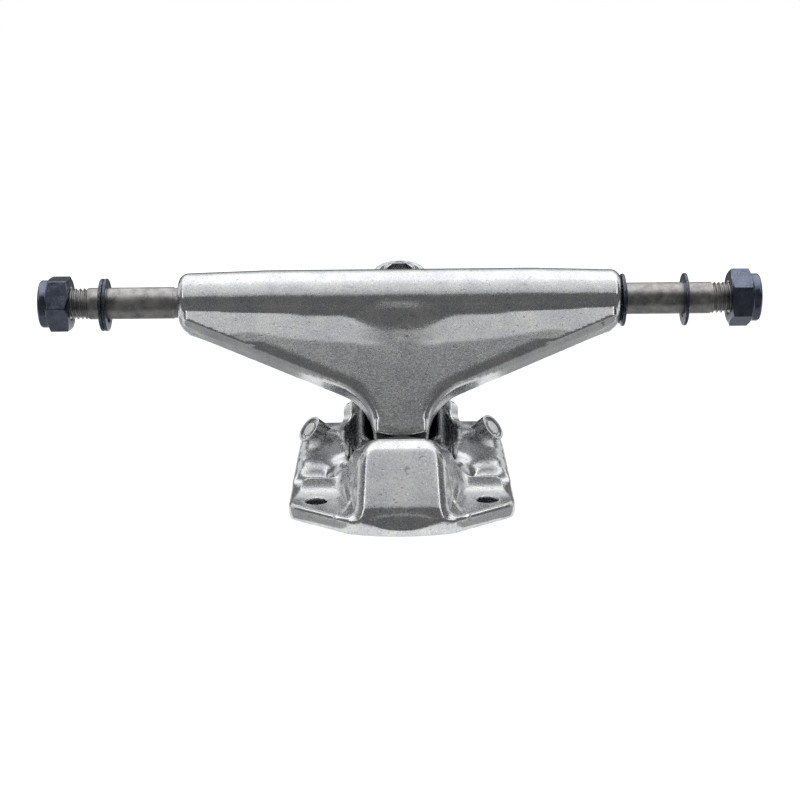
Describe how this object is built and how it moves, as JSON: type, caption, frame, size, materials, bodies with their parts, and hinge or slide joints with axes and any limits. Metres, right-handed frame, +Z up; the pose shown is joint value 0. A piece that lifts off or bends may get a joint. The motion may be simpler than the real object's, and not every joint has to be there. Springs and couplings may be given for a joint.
{
  "type": "skateboard truck",
  "caption": "Cast truck with a bolted baseplate and a hanger that steers on a pivot cup and kingpin bushings, with a threaded axle for two wheels.",
  "frame": {"origin": "centre of the four deck bolt holes, on the baseplate's flat underside", "axes": "+X along the axle, +Y from the pivot cup towards the kingpin, +Z up from the deck face towards the axle"},
  "size_m": [0.1796, 0.0876, 0.0557],
  "materials": {
    "cast_alloy": "raw sand-blasted and tumbled casting, scuffed",
    "axle_steel": "ground steel, worn and slightly tarnished",
    "zinc_steel": "bright zinc plate",
    "black_zinc": "black zinc, glossy",
    "washer_steel": "pressed, dull zinc",
    "speed_washer_steel": "black zinc, worn",
    "urethane": "cast urethane, satin",
    "cup_urethane": "moulded urethane, satin",
    "nylon": "moulded nylon"
  },
  "bodies": {
    "base": {"baseplate": "cast_alloy", "pivot_cup": "cup_urethane", "kingpin": "zinc_steel", "kingpin_nut": "zinc_steel", "kingpin_nut_insert": "nylon", "board_side_washer": "washer_steel", "board_side_bushing": "urethane", "road_side_bushing": "urethane", "road_side_washer": "washer_steel"},
    "hanger_body": {"hanger": "cast_alloy", "axle": "axle_steel"},
    "left_nut": {"axle_nut_left": "black_zinc", "axle_nut_insert_left": "nylon"},
    "right_nut": {"axle_nut_right": "black_zinc", "axle_nut_insert_right": "nylon"},
    "left_washer_in": {"speed_washer_left_inner": "speed_washer_steel"},
    "left_washer_out": {"speed_washer_left_outer": "speed_washer_steel"},
    "right_washer_in": {"speed_washer_right_inner": "speed_washer_steel"},
    "right_washer_out": {"speed_washer_right_outer": "speed_washer_steel"}
  },
  "joints": [
    {"name": "steering", "type": "hinge", "parent": "base", "child": "hanger_body", "pos_m": [0, -0.021, 0.013], "axis": [0, 0.9361, 0.3517], "range_deg": [-15, 15], "stiffness_Nm_per_rad": 20, "deforming": ["board_side_bushing", "road_side_bushing", "pivot_cup"]},
    {"name": "left_nut_unscrew", "type": "slide", "parent": "hanger_body", "child": "left_nut", "axis": [-1, 0, 0], "range_m": [0, 0.06]},
    {"name": "right_nut_unscrew", "type": "slide", "parent": "hanger_body", "child": "right_nut", "axis": [1, 0, 0], "range_m": [0, 0.06]},
    {"name": "left_outer_washer_slide", "type": "slide", "parent": "left_nut", "child": "left_washer_out", "axis": [-1, 0, 0], "range_m": [0, 0.0074]},
    {"name": "left_inner_washer_slide", "type": "slide", "parent": "left_nut", "child": "left_washer_in", "axis": [1, 0, 0], "range_m": [0, 0.0176]},
    {"name": "right_inner_washer_slide", "type": "slide", "parent": "hanger_body", "child": "right_washer_in", "axis": [1, 0, 0], "range_m": [0, 0.007]},
    {"name": "right_outer_washer_slide", "type": "slide", "parent": "right_nut", "child": "right_washer_out", "axis": [1, 0, 0], "range_m": [-0.0065, 0.0104]}
  ]
}
